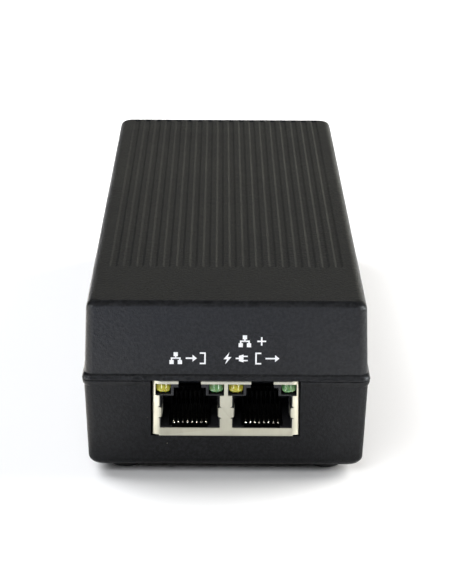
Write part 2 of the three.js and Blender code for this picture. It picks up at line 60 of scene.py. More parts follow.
# ---- sizes
COVER_HIGH = box_mm("top_cover")[1]
CASE_LOW, CASE_HIGH = box_mm("bottom_case")
JACK_LOW, JACK_HIGH = box_mm("jack_shield")
HALF_X = COVER_HIGH.x  # over the bead round the cover's rim
HALF_Y = COVER_HIGH.y
TOP_Z = COVER_HIGH.z
CASE_Z = CASE_LOW.z
LIP_TOP = CASE_HIGH.z
LIP_HEIGHT = 1.8  # tongue of the lower half, inside the cover
LIP_WALL = 1.0
LIP_ROOM = 1.3  # the room for it in the cover's wall
SEAM_Z = LIP_TOP - LIP_HEIGHT
SEAM_GAP = 0.08
WALL = 2.4
FLOOR = 2.2
COVER_IN = 0.55  # the walls stand in from the bead by this much at the seam
CASE_IN = 0.42
COVER_SLOPE = math.tan(math.radians(2.0))
CASE_SLOPE = math.tan(math.radians(2.05))
COVER_SIDE_FILLET = 2.0
COVER_END_FILLET = 1.3
CASE_SIDE_FILLET = 2.45
CASE_END_FILLET = 2.4
CORNER = 1.9  # upright corners: outside, round the lip and inside
LIP_CORNER = 0.8
INNER_CORNER = 0.6
EDGE_BREAK = 0.3  # where posts and wells lose their sharp edges
GROOVES = 18
GROOVE_PITCH = 2.977
GROOVE_DEPTH = 0.38
GROOVE_START = 24.3  # plain stretch in front of the grooves
GROOVE_END = 2.0  # and behind them
SCREW_X, SCREW_Y = 22.5, 61.0
CORNER_NAMES = {"front_left": (-1, -1), "front_right": (1, -1), "rear_left": (-1, 1), "rear_right": (1, 1)}
POST_RADIUS = 3.2  # the cover's posts, which the screws go up into
PILOT_RADIUS, PILOT_DEPTH = 1.6, 14
BOSS_RADIUS = 4.4  # the lower half's bosses, under the board
WELL_RADIUS, WELL_TOP = 3.1, 5.2
SCREW_HOLE_RADIUS, SCREW_HOLE_TOP = 1.7, 10

JACK_FACE = JACK_LOW.y
JACK_Z = JACK_LOW.z
STAND_Z = JACK_Z  # where everything on the board stands
JACK_WIDTH = JACK_HIGH.x - JACK_LOW.x
JACK_HEIGHT = JACK_HIGH.z - JACK_Z
JACK_DEPTH = JACK_HIGH.y - JACK_FACE
PORT_X = 7.84
PORTS = {"port_1": -PORT_X, "port_2": PORT_X}
PORT_SILL = 1.84
LED_LOW, LED_HIGH = 9.38, 12.06
CONTACT_PITCH = 1.016
CONTACTS = 8
FOLD_DEPTH, FOLD_HEIGHT = 2.4, 2.15  # middle of a contact wire's fold, in the jack

INLET_FLANGE = 1.2  # how far the flange stands out of the inlet's body, inside the wall
INLET_GAP = 0.15


# ---- mesh tools
SMOOTH_ANGLE = 35  # degrees: edges blunter than this shade smooth


def make(name, points, faces, material, smooth_angle=SMOOTH_ANGLE):
    """A mesh object from points in millimetres."""
    mesh = bpy.data.meshes.new(name)
    mesh.from_pydata([Vector(p) * MM for p in points], [], faces)
    mesh.materials.append(material)
    piece = bpy.data.objects.new(name, mesh)
    bpy.context.scene.collection.objects.link(piece)
    tidy_normals(piece, smooth_angle)
    return piece


def tidy_normals(piece, smooth_angle):
    """Faces point out, and edges blunter than the angle shade smooth."""
    mesh = piece.data
    made = bmesh.new()
    made.from_mesh(mesh)
    bmesh.ops.recalc_face_normals(made, faces=made.faces)
    made.to_mesh(mesh)
    made.free()
    mesh.shade_smooth()
    mesh.set_sharp_from_angle(angle=math.radians(smooth_angle))
    mesh.update()


def bake_modifiers(piece):
    """Applies the piece's modifiers to its mesh."""
    graph = bpy.context.evaluated_depsgraph_get()
    applied = bpy.data.meshes.new_from_object(piece.evaluated_get(graph), depsgraph=graph)
    piece.modifiers.clear()
    old = piece.data
    piece.data = applied
    bpy.data.meshes.remove(old)


def combine(base, tools, operation="DIFFERENCE"):
    """Cuts the tools out of the base, or joins them to it, and removes them."""
    for tool in tools:
        step = base.modifiers.new("step", "BOOLEAN")
        step.operation = operation
        step.solver = "EXACT"
        step.object = tool
        bake_modifiers(base)
        mesh = tool.data
        bpy.data.objects.remove(tool)
        bpy.data.meshes.remove(mesh)


def finish_edges(piece, width=0.0, segments=2, angle=40):
    """Breaks the edges sharper than the angle, and weights the normals so that flat faces shade flat."""
    if width:
        bevel = piece.modifiers.new("edges", "BEVEL")
        bevel.width = width * MM
        bevel.segments = segments
        bevel.limit_method = "ANGLE"
        bevel.angle_limit = math.radians(angle)
        bevel.use_clamp_overlap = True
        bake_modifiers(piece)
    piece.data.shade_smooth()
    piece.data.set_sharp_from_angle(angle=math.radians(SMOOTH_ANGLE))
    weigh = piece.modifiers.new("weigh", "WEIGHTED_NORMAL")
    weigh.keep_sharp = True
    weigh.weight = 80


def place(piece, body, slot, *replaced):
    """Puts a finished piece on its body, in place of CAD nodes."""
    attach(piece, body)
    if replaced:
        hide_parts(*replaced)


def ring_skin(rings):
    """Points and faces of rings joined in order, with both ends capped."""
    count = len(rings[0])
    points = [point for ring in rings for point in ring]
    faces = []
    for layer in range(len(rings) - 1):
        near, far = layer * count, (layer + 1) * count
        for i in range(count):
            j = (i + 1) % count
            faces.append((near + i, near + j, far + j, far + i))
    faces.append(tuple(reversed(range(count))))
    faces.append(tuple(range((len(rings) - 1) * count, len(rings) * count)))
    return points, faces


def rounded_outline(half_a, half_b, radius, segments=8):
    """Points of a rounded rectangle, counter-clockwise."""
    points = []
    for sign_a, sign_b, start in ((1, 1, 0), (-1, 1, 90), (-1, -1, 180), (1, -1, 270)):
        centre = (sign_a * (half_a - radius), sign_b * (half_b - radius))
        points += arc(centre, radius, start, start + 90, segments)
    return points


def tower(name, layers, material):
    """A stack of rounded rectangles: each layer is (z, half_x, half_y, corner radius)."""
    rings = [[(x, y, z) for x, y in rounded_outline(hx, hy, r)] for z, hx, hy, r in layers]
    return make(name, *ring_skin(rings), material)


def slab(name, low, high, material):
    """A box from its corners, for cutting and joining."""
    (x0, y0, z0), (x1, y1, z1) = low, high
    rings = [[(x0, y0, z), (x1, y0, z), (x1, y1, z), (x0, y1, z)] for z in (z0, z1)]
    return make(name, *ring_skin(rings), material)


def prism(name, outline, axis, start, end, material):
    """An outline pushed along an axis: (y, z) along X, (x, z) along Y, (x, y) along Z."""
    spread = {
        "x": lambda a, b, c: (c, a, b),
        "y": lambda a, b, c: (a, c, b),
        "z": lambda a, b, c: (a, b, c),
    }[axis]
    rings = [[spread(a, b, c) for a, b in outline] for c in (start, end)]
    return make(name, *ring_skin(rings), material)


def lathe(name, profile, centre, material, segments=32):
    """A piece turned about an upright axis, from (radius, z) points that may start and end on the axis."""
    points, faces, rings = [], [], []
    for radius, z in profile:
        ring = []
        for i in range(segments if radius > 1e-6 else 1):
            angle = 2 * math.pi * i / segments
            ring.append(len(points))
            points.append((centre[0] + radius * math.cos(angle), centre[1] + radius * math.sin(angle), z))
        rings.append(ring)
    for a, b in zip(rings, rings[1:]):
        for i in range(segments):
            j = (i + 1) % segments
            if len(a) == 1:
                faces.append((a[0], b[j], b[i]))
            elif len(b) == 1:
                faces.append((a[i], a[j], b[0]))
            else:
                faces.append((a[i], a[j], b[j], b[i]))
    return make(name, points, faces, material)


def join_pieces(name, pieces):
    """Several meshes as one object."""
    base = pieces[0]
    base.name = name
    merged = bmesh.new()
    for piece in pieces:
        merged.from_mesh(piece.data)
    merged.to_mesh(base.data)
    merged.free()
    for piece in pieces[1:]:
        mesh = piece.data
        bpy.data.objects.remove(piece)
        bpy.data.meshes.remove(mesh)
    return base


def arc(centre, radius, start, end, steps):
    """Points of an arc, with angles in degrees."""
    angles = [math.radians(start + (end - start) * i / steps) for i in range(steps + 1)]
    return [(centre[0] + radius * math.cos(a), centre[1] + radius * math.sin(a)) for a in angles]


# ---- materials
class Nodes:
    """A small helper for writing a node tree."""

    def __init__(self, name):
        self.material = bpy.data.materials.new(name)
        self.material.use_nodes = True
        self.tree = self.material.node_tree
        self.shader = self.tree.nodes["Principled BSDF"]
        self.coords = self.tree.nodes.new("ShaderNodeTexCoord").outputs["Object"]

    def link(self, output, target):
        self.tree.links.new(output, target)

    def set(self, **values):
        for key, value in values.items():
            self.shader.inputs[key.replace("_", " ")].default_value = value

    def noise(self, scale, detail=3.0, roughness=0.5, stretch=(1, 1, 1)):
        """Noise with the given number of features to a metre."""
        mapping = self.tree.nodes.new("ShaderNodeMapping")
        mapping.inputs["Scale"].default_value = stretch
        self.link(self.coords, mapping.inputs["Vector"])
        node = self.tree.nodes.new("ShaderNodeTexNoise")
        node.inputs["Scale"].default_value = scale
        node.inputs["Detail"].default_value = detail
        node.inputs["Roughness"].default_value = roughness
        self.link(mapping.outputs["Vector"], node.inputs["Vector"])
        return node.outputs["Fac"]

    def cells(self, scale):
        """Distance to the middle of the nearest cell, with the given number of cells to a metre."""
        node = self.tree.nodes.new("ShaderNodeTexVoronoi")
        node.inputs["Scale"].default_value = scale
        self.link(self.coords, node.inputs["Vector"])
        return node.outputs["Distance"]

    def span(self, value, low, high, to_low=0.0, to_high=1.0):
        """Maps a value's range onto another, clamped."""
        node = self.tree.nodes.new("ShaderNodeMapRange")
        node.inputs["From Min"].default_value = low
        node.inputs["From Max"].default_value = high
        node.inputs["To Min"].default_value = to_low
        node.inputs["To Max"].default_value = to_high
        self.link(value, node.inputs["Value"])
        return node.outputs["Result"]

    def blend(self, factor, first, second):
        """Mixes two colours, each a tuple or an output."""
        node = self.tree.nodes.new("ShaderNodeMix")
        node.data_type = "RGBA"
        for socket, colour in ((node.inputs[6], first), (node.inputs[7], second)):
            if isinstance(colour, tuple):
                socket.default_value = (*colour, 1)
            else:
                self.link(colour, socket)
        self.link(factor, node.inputs[0])
        return node.outputs[2]

    def maths(self, operation, first, second):
        """Combines two values, each a number or an output."""
        node = self.tree.nodes.new("ShaderNodeMath")
        node.operation = operation
        for socket, value in ((node.inputs[0], first), (node.inputs[1], second)):
            if isinstance(value, (int, float)):
                socket.default_value = value
            else:
                self.link(value, socket)
        return node.outputs[0]

    def bump(self, height, strength, distance_mm, below=None):
        node = self.tree.nodes.new("ShaderNodeBump")
        node.inputs["Strength"].default_value = strength
        node.inputs["Distance"].default_value = distance_mm * MM
        self.link(height, node.inputs["Height"])
        if below is not None:
            self.link(below, node.inputs["Normal"])
        return node.outputs["Normal"]

    def edges(self):
        """One on convex edges, zero elsewhere."""
        node = self.tree.nodes.new("ShaderNodeNewGeometry")
        return self.span(node.outputs["Pointiness"], 0.52, 0.6)

    def colour(self, output):
        self.link(output, self.shader.inputs["Base Color"])

    def rough(self, output):
        self.link(output, self.shader.inputs["Roughness"])

    def normal(self, output):
        self.link(output, self.shader.inputs["Normal"])


def moulded(name, base, worn, roughness, grain=4200, grain_depth=0.012, specks=True, specular=0.35):
    """Spark-textured moulded plastic: fine grain, faint smears, rubbed edges and a little dust."""
    n = Nodes(name)
    n.set(Specular_IOR_Level=specular)
    smear = n.noise(28, 4, 0.6)
    mottle = n.noise(1500, 3, 0.75)
    tone = n.blend(n.span(smear, 0.3, 0.7), tuple(c * 0.9 for c in base), tuple(c * 1.1 for c in base))
    tone = n.blend(n.span(mottle, 0.42, 0.62), tone, tuple(c * 2.5 for c in base))
    rubbed = n.maths("MULTIPLY", n.edges(), n.span(n.noise(350, 3), 0.42, 0.62))
    tone = n.blend(n.span(rubbed, 0, 1, 0, 0.5), tone, worn)
    if specks:
        here = n.span(n.cells(420), 0.035, 0.02)
        few = n.span(n.noise(160, 1), 0.60, 0.66)
        tone = n.blend(n.maths("MULTIPLY", here, few), tone, (0.30, 0.29, 0.22))
    n.colour(tone)
    uneven = n.span(smear, 0.25, 0.75, roughness - 0.04, roughness + 0.05)
    n.rough(n.maths("ADD", uneven, n.span(mottle, 0.35, 0.65, -0.07, 0.07)))
    coarse = n.bump(mottle, 1.0, 13 * grain_depth)
    n.normal(n.bump(n.noise(grain, 2, 0.65), 0.5, grain_depth, coarse))
    return n.material


def sheet_metal(name, base, dark, roughness, brushed, scale=900):
    """Rolled or plated metal with rolling streaks, stains and brighter rubbed edges."""
    n = Nodes(name)
    n.set(Metallic=1.0)
    streaks = n.noise(scale, 4, 0.6, brushed)
    stain = n.noise(190, 3, 0.55)
    tone = n.blend(n.span(stain, 0.35, 0.75), base, dark)
    tone = n.blend(n.span(streaks, 0.4, 0.7, 0, 0.3), tone, dark)
    tone = n.blend(n.span(n.edges(), 0, 1, 0, 0.5), tone, tuple(min(1, c * 1.15) for c in base))
    n.colour(tone)
    polish = n.span(streaks, 0.3, 0.7, -0.06, 0.06)
    n.rough(n.maths("ADD", polish, n.span(stain, 0.3, 0.7, roughness, roughness + 0.1)))
    n.normal(n.bump(streaks, 0.25, 0.004))
    return n.material


def plated_wire(name, plating, painted_shade, roughness):
    """Contact wire: bright plating round its fold; further back its colour is painted shade, near black like
    the jack's cavity, and it is duller there.
    """
    n = Nodes(name)
    n.set(Metallic=1.0)
    spot = n.tree.nodes.new("ShaderNodeSeparateXYZ")
    n.link(n.coords, spot.inputs["Vector"])
    fold_y = JACK_FACE + FOLD_DEPTH
    behind = n.span(spot.outputs["Y"], (fold_y + 0.1) * MM, (fold_y + 0.5) * MM)
    streaks = n.noise(2000, 4, 0.6, (1, 0.1, 1))
    tone = n.blend(n.span(streaks, 0.3, 0.7), plating, tuple(c * 0.85 for c in plating))
    # Painted shade: behind the fold the wire takes the dark colour of the shaded cavity.
    n.colour(n.blend(behind, tone, painted_shade))
    worn = n.span(streaks, 0.3, 0.7, -0.03, 0.05)
    n.rough(n.maths("ADD", worn, n.span(behind, 0, 1, roughness, roughness + 0.25)))
    n.normal(n.bump(streaks, 0.03, 0.002))
    return n.material


def lens_resin(name, base, deep):
    """Tinted diffusing resin of a lamp: cloudy inside, glossy outside."""
    n = Nodes(name)
    n.set(Specular_IOR_Level=0.9, Subsurface_Weight=0.25, Subsurface_Scale=0.001)
    cloud = n.noise(1500, 3)
    n.colour(n.blend(n.span(cloud, 0.3, 0.7), base, deep))
    n.rough(n.span(cloud, 0.3, 0.7, 0.12, 0.18))
    n.normal(n.bump(n.noise(2500, 2), 0.1, 0.0015))
    return n.material


def rubbery(name, base):
    """Dull rubber with dust in its pores."""
    n = Nodes(name)
    n.set(Specular_IOR_Level=0.25)
    dusty = n.noise(600, 4, 0.6)
    n.colour(n.blend(n.span(dusty, 0.45, 0.75), base, tuple(c * 2.2 + 0.01 for c in base)))
    n.rough(n.span(dusty, 0.3, 0.7, 0.72, 0.9))
    n.normal(n.bump(n.noise(3500, 3), 0.5, 0.02))
    return n.material


def coated(name, base, second, roughness, scale, depth, metallic=0.0):
    """A dipped, painted, taped or sleeved surface with mild unevenness."""
    n = Nodes(name)
    n.set(Metallic=metallic, Coat_Weight=0.2, Coat_Roughness=0.2)
    cloud = n.noise(scale, 3)
    tone = n.blend(n.span(cloud, 0.3, 0.7), base, second)
    n.colour(n.blend(n.span(n.edges(), 0, 1, 0, 0.35), tone, tuple(min(1, c * 1.6 + 0.02) for c in base)))
    n.rough(n.span(cloud, 0.3, 0.7, roughness - 0.06, roughness + 0.08))
    n.normal(n.bump(cloud, 0.4, depth))
    return n.material


def solder_mask(name):
    """Green board: laminate weave under the mask, copper tracks as faint raised lines."""
    n = Nodes(name)
    n.set(Coat_Weight=0.3, Coat_Roughness=0.15)
    tracks = n.tree.nodes.new("ShaderNodeTexBrick")
    tracks.inputs["Scale"].default_value = 110
    tracks.inputs["Mortar Size"].default_value = 0.06
    n.link(n.coords, tracks.inputs["Vector"])
    weave = n.cells(2600)
    base = n.blend(n.span(weave, 0.1, 0.6), (0.012, 0.085, 0.035), (0.02, 0.12, 0.05))
    n.colour(n.blend(tracks.outputs["Fac"], base, (0.035, 0.17, 0.06)))
    n.rough(n.span(n.noise(300), 0.3, 0.7, 0.28, 0.42))
    n.normal(n.bump(tracks.outputs["Fac"], 0.5, 0.03))
    return n.material


def ink(name):
    """Pad-printed white ink, slightly uneven in cover."""
    n = Nodes(name)
    n.set(Specular_IOR_Level=0.3)
    cover = n.noise(2200, 3)
    n.colour(n.blend(n.span(cover, 0.25, 0.6), (0.84, 0.85, 0.87), (0.95, 0.96, 0.98)))
    n.rough(n.span(cover, 0.3, 0.7, 0.45, 0.6))
    n.normal(n.bump(cover, 0.3, 0.006))
    return n.material


COVER_PLASTIC = moulded("cover_plastic", (0.0052, 0.0054, 0.006), (0.016, 0.016, 0.016), 0.36, specular=0.2)
# The lower half's plastic is a darker, less shiny copy of the cover's: painted shade, for the shadowed floor
# close in front that its front mirrors.
CASE_PLASTIC = moulded("case_plastic", (0.0042, 0.0044, 0.005), (0.026, 0.026, 0.026), 0.38, specular=0.12)
JACK_PLASTIC = moulded(
    "jack_plastic", (0.008, 0.008, 0.009), (0.03, 0.03, 0.032), 0.42, 3000, 0.006, specks=False, specular=0.25
)
# The wires' carrier is near black and barely shiny: painted shade for its place deep inside the ports.
INSERT_PLASTIC = moulded(
    "insert_plastic", (0.0014, 0.0014, 0.0015), (0.01, 0.01, 0.01), 0.5, specks=False, specular=0.06
)
INLET_PLASTIC = moulded(
    "inlet_plastic", (0.014, 0.014, 0.015), (0.05, 0.05, 0.05), 0.4, 3500, 0.008, specks=False
)
RUBBER = rubbery("foot_rubber", (0.014, 0.014, 0.014))
TIN = sheet_metal("tin_plate", (0.375, 0.362, 0.29), (0.31, 0.297, 0.238), 0.36, (1, 1, 0.15))
STEEL = sheet_metal("zinc_steel", (0.62, 0.63, 0.64), (0.42, 0.42, 0.42), 0.32, (1, 1, 1), 1500)
NICKEL = sheet_metal("nickel_blade", (0.74, 0.73, 0.70), (0.55, 0.54, 0.5), 0.22, (1, 0.1, 1))
# The wire's second, near-black colour is painted shade for its arms deep in the jack.
GOLD = plated_wire("gold_wire", (0.98, 0.91, 0.77), (0.035, 0.033, 0.03), 0.13)
ALUMINIUM = sheet_metal("mill_aluminium", (0.66, 0.67, 0.68), (0.5, 0.51, 0.52), 0.36, (1, 0.1, 1), 700)
YELLOW = lens_resin("yellow_resin", (0.54, 0.50, 0.06), (0.46, 0.42, 0.04))
GREEN = lens_resin("green_resin", (0.19, 0.36, 0.16), (0.13, 0.3, 0.11))
INK = ink("white_ink")
BOARD = solder_mask("board_mask")
FILM = coated("insulation_film", (0.62, 0.58, 0.45), (0.55, 0.5, 0.38), 0.35, 90, 0.05)
EPOXY = moulded("component_epoxy", (0.014, 0.014, 0.015), (0.05, 0.05, 0.05), 0.55, 5000, 0.006, specks=False)
BLUE = coated("blue_dip", (0.03, 0.12, 0.42), (0.02, 0.09, 0.33), 0.3, 700, 0.05)
YELLOW_BOX = coated("yellow_box", (0.72, 0.48, 0.04), (0.62, 0.4, 0.03), 0.4, 900, 0.01)
SLEEVE = coated("sleeve", (0.018, 0.02, 0.035), (0.012, 0.013, 0.022), 0.25, 300, 0.02)
ENAMEL = coated("enamelled_wire", (0.55, 0.2, 0.06), (0.4, 0.13, 0.04), 0.25, 1800, 0.03, 0.8)
FERRITE = moulded("ferrite", (0.035, 0.035, 0.037), (0.1, 0.1, 0.1), 0.6, 2500, 0.02, specks=False)
TAPE = coated("winding_tape", (0.68, 0.47, 0.07), (0.58, 0.38, 0.05), 0.3, 250, 0.03)


# ---- case
def fillet_inset(radius, height):
    """How far a fillet pulls a wall in, at a height from the face that it rounds into."""
    return 0 if height >= radius else radius - math.sqrt(radius**2 - (radius - height) ** 2)


def cover_inset(z):
    """How far the cover's wall stands in from the bead's crest."""
    return COVER_IN + (z - SEAM_Z) * COVER_SLOPE


def case_inset(z):
    """How far the lower half's wall stands in from the bead's crest."""
    return CASE_IN + (SEAM_Z - z) * CASE_SLOPE


def outline_layer(z, inset, corner=CORNER):
    """A tower's layer that stands in from the bead's crest."""
    return z, HALF_X - inset, HALF_Y - inset, corner


def shoulder(face_z, direction, side_radius, end_radius, inset):
    """Layers of a half's rounded edge, from the wall to the flat face."""
    steps = 10
    heights = []
    for i in range(steps + 1):
        left = 1 - math.sin(math.pi / 2 * i / steps)
        heights.append(side_radius * left)
        if i:
            heights.append(end_radius * left)
    layers = []
    for height in sorted(set(round(h, 4) for h in heights), reverse=True):
        z = face_z - direction * height
        half_x = HALF_X - inset(z) - fillet_inset(side_radius, height)
        half_y = HALF_Y - inset(z) - fillet_inset(end_radius, height)
        layers.append((z, half_x, half_y, CORNER))
    return layers


# The bead leans back from its crest to the cover's wall: (height above the seam, inset).
BEAD_PROFILE = [(0.0, 0.12), (0.04, 0.05), (0.1, 0.01), (0.18, 0.0), (0.3, 0.03)]
BEAD_PROFILE += [(0.92, 0.24), (1.0, 0.28), (1.09, 0.35), (1.17, 0.42), (1.25, 0.49)]
BEAD_TOP = 1.38  # where the bead has run out into the wall, above the seam
# The rim below the seam tapers back into the wall: (depth below the seam, inset).
RIM_PROFILE = [(1.42, 0.45), (1.3, 0.37), (1.0, 0.24), (0.7, 0.15)]
RIM_PROFILE += [(0.4, 0.09), (0.2, 0.075), (0.08, 0.1), (0.0, 0.18)]


def groove_cutters():
    """The grooves' tools, with rounded brims and floors, rising to the surface at both ends."""
    profile = [(-1.3, 0.4), (-1.02, 0.004), (-0.93, -0.025), (-0.84, -0.08)]
    profile += [(-0.52, -0.32), (-0.44, -GROOVE_DEPTH + 0.02), (-0.34, -GROOVE_DEPTH)]
    profile += [(-x, z) for x, z in reversed(profile)]
    start, end = -HALF_Y + GROOVE_START, HALF_Y - GROOVE_END
    stations = [(start - 0.5, 0.45), (start - 0.1, 0.26), (start + 0.25, 0.08), (start + 0.7, 0)]
    stations += [(end - 1.2, 0), (end - 0.6, 0.1), (end, 0.45)]
    cutters = []
    for i in range(GROOVES):
        x = (i - (GROOVES - 1) / 2) * GROOVE_PITCH
        rings = [[(x + a, y, TOP_Z + b + lift) for a, b in profile] for y, lift in stations]
        cutters.append(make("groove", *ring_skin(rings), COVER_PLASTIC))
    return join_pieces("grooves", cutters)


def inlet_opening():
    """The cutter of the opening that the inlet's face fills, through the rear wall of both halves."""
    low, high = box_mm("inlet_housing")
    reach = INLET_FLANGE - INLET_GAP
    near, far = (low.x + reach, HALF_Y - 8, low.z + reach), (high.x - reach, HALF_Y + 1, high.z - reach)
    return slab("inlet_opening", near, far, COVER_PLASTIC)


def at_screws(name, profile, material, segments=32):
    """The same turned piece on the axis of every screw, as one mesh."""
    centres = [(side * SCREW_X, end * SCREW_Y) for side, end in CORNER_NAMES.values()]
    return join_pieces(name, [lathe(name, profile, centre, material, segments) for centre in centres])


def build_cover():
    floor_z = SEAM_Z + SEAM_GAP / 2
    layers = [outline_layer(floor_z + height, inset) for height, inset in BEAD_PROFILE]
    layers.append(outline_layer(floor_z + BEAD_TOP, cover_inset(floor_z + BEAD_TOP)))
    layers += shoulder(TOP_Z, 1, COVER_SIDE_FILLET, COVER_END_FILLET, cover_inset)
    cover = tower("cover", layers, COVER_PLASTIC)
    inner = [
        outline_layer(floor_z - 1, COVER_IN + WALL, INNER_CORNER),
        outline_layer(TOP_Z - FLOOR, cover_inset(TOP_Z) + WALL, INNER_CORNER),
    ]
    rebate = COVER_IN + WALL - LIP_ROOM
    lip_room = [outline_layer(z, rebate, LIP_CORNER) for z in (floor_z - 1, LIP_TOP + 0.3)]
    combine(cover, [tower("inner", inner, COVER_PLASTIC), tower("lip_room", lip_room, COVER_PLASTIC)])
    post_top = TOP_Z - 2
    post = [(0, STAND_Z), (POST_RADIUS - 0.2, STAND_Z), (POST_RADIUS, STAND_Z + EDGE_BREAK)]
    post += [(POST_RADIUS, post_top), (0, post_top)]
    pilot_top = STAND_Z + PILOT_DEPTH
    pilot = [(0, STAND_Z - 1), (PILOT_RADIUS, STAND_Z - 1), (PILOT_RADIUS, pilot_top), (0, pilot_top + 1)]
    combine(cover, [at_screws("post", post, COVER_PLASTIC, 24)], "UNION")
    combine(cover, [at_screws("pilot", pilot, COVER_PLASTIC, 20), groove_cutters(), inlet_opening()])
    finish_edges(cover)
    place(cover, "case", "case_black", "top_cover")


def plan_centre(low, high):
    return (low.x + high.x) / 2, (low.y + high.y) / 2


def foot_pocket(corner):
    """The cutter of a foot's pocket, a little wider than the foot."""
    low, high = box_mm("foot_" + corner)
    gap, edge_break, depth = 0.25, 0.15, 0.8
    radius = (high.x - low.x) / 2 + gap
    profile = [(0, CASE_Z - 1), (radius + edge_break, CASE_Z - 1), (radius + edge_break, CASE_Z)]
    profile += [(radius, CASE_Z + edge_break), (radius, CASE_Z + depth), (0, CASE_Z + depth)]
    return lathe("pocket", profile, plan_centre(low, high), CASE_PLASTIC, 40)


def jack_opening():
    """The cutter of the jack's opening: close on the jack's right, with a dark gap on its left."""
    left_gap, right_gap, low_gap = 0.3, 0.08, 0.1
    near = (JACK_LOW.x - left_gap, -HALF_Y - 1, JACK_Z - low_gap)
    far = (JACK_HIGH.x + right_gap, -HALF_Y + 5, SEAM_Z + 5)
    return slab("jack_opening", near, far, CASE_PLASTIC)


def build_case():
    rim_z = SEAM_Z - SEAM_GAP / 2
    layers = shoulder(CASE_Z, -1, CASE_SIDE_FILLET, CASE_END_FILLET, case_inset)[::-1]
    layers += [outline_layer(rim_z - depth, inset) for depth, inset in RIM_PROFILE]
    case = tower("case", layers, CASE_PLASTIC)
    lip_out = COVER_IN + WALL - LIP_WALL
    chamfer = 0.2
    lip = [
        outline_layer(rim_z - 1, lip_out, LIP_CORNER),
        outline_layer(LIP_TOP - chamfer, lip_out, LIP_CORNER),
        outline_layer(LIP_TOP, lip_out + chamfer, LIP_CORNER),
    ]
    combine(case, [tower("lip", lip, CASE_PLASTIC)], "UNION")
    draft = 0.7  # the hollow narrows towards the floor
    hollow = [
        outline_layer(CASE_Z + FLOOR, COVER_IN + WALL + draft, INNER_CORNER),
        outline_layer(SEAM_Z + 5, COVER_IN + WALL, INNER_CORNER),
    ]
    combine(case, [tower("hollow", hollow, CASE_PLASTIC)])
    boss_top = box_mm("main_board")[0].z - EDGE_BREAK
    boss = [(0, CASE_Z + 1), (BOSS_RADIUS, CASE_Z + 1), (BOSS_RADIUS, boss_top - 0.2)]
    boss += [(BOSS_RADIUS - 0.2, boss_top), (0, boss_top)]
    brim = WELL_RADIUS + EDGE_BREAK
    well = [(0, CASE_Z - 1), (brim, CASE_Z - 1), (brim, CASE_Z), (WELL_RADIUS, CASE_Z + EDGE_BREAK)]
    well += [(WELL_RADIUS, WELL_TOP), (SCREW_HOLE_RADIUS, WELL_TOP)]
    well += [(SCREW_HOLE_RADIUS, SCREW_HOLE_TOP), (0, SCREW_HOLE_TOP)]
    combine(case, [at_screws("boss", boss, CASE_PLASTIC)], "UNION")
    wells = [at_screws("well", well, CASE_PLASTIC)] + [foot_pocket(corner) for corner in CORNER_NAMES]
    combine(case, [join_pieces("wells", wells), jack_opening(), inlet_opening()])
    finish_edges(case)
    place(case, "case", "case_black", "bottom_case")


build_cover()
build_case()


# ---- feet and screws
def build_foot(corner):
    low, high = box_mm("foot_" + corner)
    radius, height = (high.x - low.x) / 2, high.z
    rounding, edge_break = 1.1, 0.1
    profile = [(0, 0)] + arc((radius - rounding, rounding), rounding, -90, 0, 8)
    profile += [(radius, height - edge_break), (radius - edge_break, height), (0, height)]
    foot = lathe("foot_piece_" + corner, profile, plan_centre(low, high), RUBBER, 48)
    finish_edges(foot)
    place(foot, "case", "foot_rubber", "foot_" + corner)


def build_screw(corner):
    """A pan-head screw, head down, with a cross recess and a ridged shank."""
    low, high = box_mm("screw_" + corner)
    centre = plan_centre(low, high)
    head_radius, head_height, rounding = 2.7, 1.9, 1.2
    core, crest, neck, pitch = 1.1, 1.38, 1.35, 1.0
    profile = [(0, low.z)] + arc((head_radius - rounding, low.z + rounding), rounding, -90, 0, 6)
    profile += [(head_radius, low.z + head_height), (neck, low.z + head_height)]
    thread_top = high.z - 1.2
    z = low.z + head_height + pitch / 2
    while z < thread_top:
        profile += [(core, z), (crest, z + pitch / 2)]
        z += pitch
    profile += [(core - 0.1, thread_top + 0.3), (0, high.z)]
    screw = lathe("screw_piece_" + corner, profile, centre, STEEL, 32)
    long, thin, recess_depth = 3.4, 0.62, 1.25
    wings = []
    for length, width in ((long, thin), (thin, long)):
        near = (centre[0] - length / 2, centre[1] - width / 2, low.z - 1)
        far = (centre[0] + length / 2, centre[1] + width / 2, low.z + recess_depth)
        wings.append(slab("wing", near, far, STEEL))
    combine(screw, wings)
    finish_edges(screw)
    place(screw, "case", "screw_steel", "screw_" + corner)


for corner_name in CORNER_NAMES:
    build_foot(corner_name)
    build_screw(corner_name)


# ---- network jack
def jack_slab(name, x, depth, height, material):
    """A box in the jack: ranges of x, of depth behind its face and of height above its underside."""
    near, far = ((x[i], JACK_FACE + depth[i], JACK_Z + height[i]) for i in (0, 1))
    return slab(name, near, far, material)


def port_window(x):
    """A port's outline in the shield: nicks part a finger from each side, and the lamps' corners step out."""
    half, lamp_half, finger, nick = 6.53, 7.42, 6.2, 6.84
    right = [(half - 0.15, PORT_SILL), (half, PORT_SILL + 0.15)]
    right += [(half, 4.0), (nick, 4.08), (nick, 4.2), (finger, 4.42)]
    right += [(finger, 6.5), (nick, 6.68), (nick, 6.8), (half, 6.88)]
    right += [(half, LED_LOW), (lamp_half, LED_LOW), (lamp_half, LED_HIGH)]
    outline = right + [(-a, b) for a, b in reversed(right)]
    return [(x + a, JACK_Z + b) for a, b in outline]


